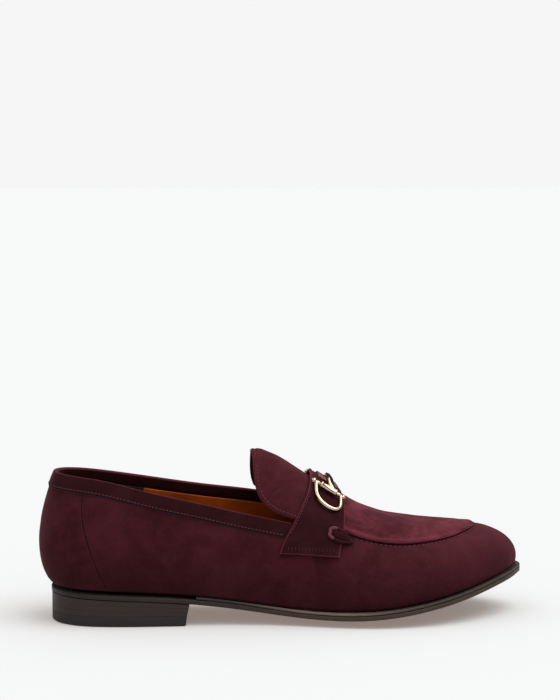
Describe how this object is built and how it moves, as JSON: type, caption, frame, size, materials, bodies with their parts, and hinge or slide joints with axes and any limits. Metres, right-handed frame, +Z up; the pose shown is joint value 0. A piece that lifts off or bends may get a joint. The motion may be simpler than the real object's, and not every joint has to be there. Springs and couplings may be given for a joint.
{
  "type": "snaffle loafer",
  "caption": "Low slip-on suede loafer for the right foot, with a stitched apron, a saddle strap, a metal snaffle with free-swinging D rings, a free tongue, and a low stacked heel.",
  "frame": {"origin": "on the ground, below the middle of the whole shoe", "axes": "+X from heel to toe, +Y from the outer side to the inner side of the foot, +Z up"},
  "size_m": [0.2996, 0.1008, 0.1044],
  "materials": {
    "burgundy_suede": "dark burgundy suede with a short nap",
    "burgundy_leather": "dark red smooth leather, satin",
    "tan_leather": "orange tan smooth leather, satin",
    "dark_leather": "dark brown stained sole leather, waxed edge",
    "dark_lining": "dark brown lining suede",
    "natural_leather": "undyed vegetable-tanned leather",
    "black_rubber": "matt near-black rubber",
    "cork": "pressed cork",
    "stiffener_board": "pressed fibre board",
    "foam": "soft cream foam",
    "steel": "sprung steel strip",
    "pale_gold": "polished pale gold plate",
    "brass": "plain brass"
  },
  "bodies": {
    "shoe": {"apron": "burgundy_suede", "collar_band": "burgundy_suede", "cork_filler": "cork", "heel_counter": "stiffener_board", "heel_grip": "dark_lining", "heel_lift_1": "dark_leather", "heel_lift_2": "dark_leather", "heel_lift_3": "dark_leather", "heel_nail_1": "brass", "heel_nail_2": "brass", "heel_nail_3": "brass", "heel_nail_4": "brass", "heel_nail_5": "brass", "heel_nail_6": "brass", "heel_nail_7": "brass", "heel_pad": "foam", "heel_piece": "burgundy_suede", "heel_top_piece": "black_rubber", "insole": "natural_leather", "keeper_lateral": "burgundy_leather", "keeper_medial": "burgundy_leather", "mouthpiece": "pale_gold", "outsole": "dark_leather", "quarter_lining_lateral": "tan_leather", "quarter_lining_medial": "tan_leather", "saddle_strap": "burgundy_suede", "shank": "steel", "sock_lining": "tan_leather", "strap_tie_lateral": "burgundy_suede", "strap_tie_medial": "burgundy_suede", "toe_puff": "stiffener_board", "vamp_lining": "tan_leather", "vamp_wall": "burgundy_suede", "welt": "natural_leather"},
    "snaffle_ring_lateral": {"snaffle_ring_lateral": "pale_gold"},
    "snaffle_ring_medial": {"snaffle_ring_medial": "pale_gold"},
    "tongue": {"tongue": "burgundy_suede", "tongue_lining": "burgundy_leather"}
  },
  "joints": [
    {"name": "ring_lateral_swing", "type": "hinge", "parent": "shoe", "child": "snaffle_ring_lateral", "pos_m": [0.02653, -0.01905, 0.08064], "axis": [-0.8575, 0.0728, 0.5093], "range_deg": [0, 100]},
    {"name": "ring_medial_swing", "type": "hinge", "parent": "shoe", "child": "snaffle_ring_medial", "pos_m": [0.0258, 0.02151, 0.08026], "axis": [0.845, 0.1805, -0.5033], "range_deg": [0, 100]},
    {"name": "tongue_lift", "type": "hinge", "parent": "shoe", "child": "tongue", "pos_m": [0.017, 0, 0.083], "axis": [0, 1, 0], "range_deg": [-4, 14], "stiffness_Nm_per_rad": 0.15}
  ]
}
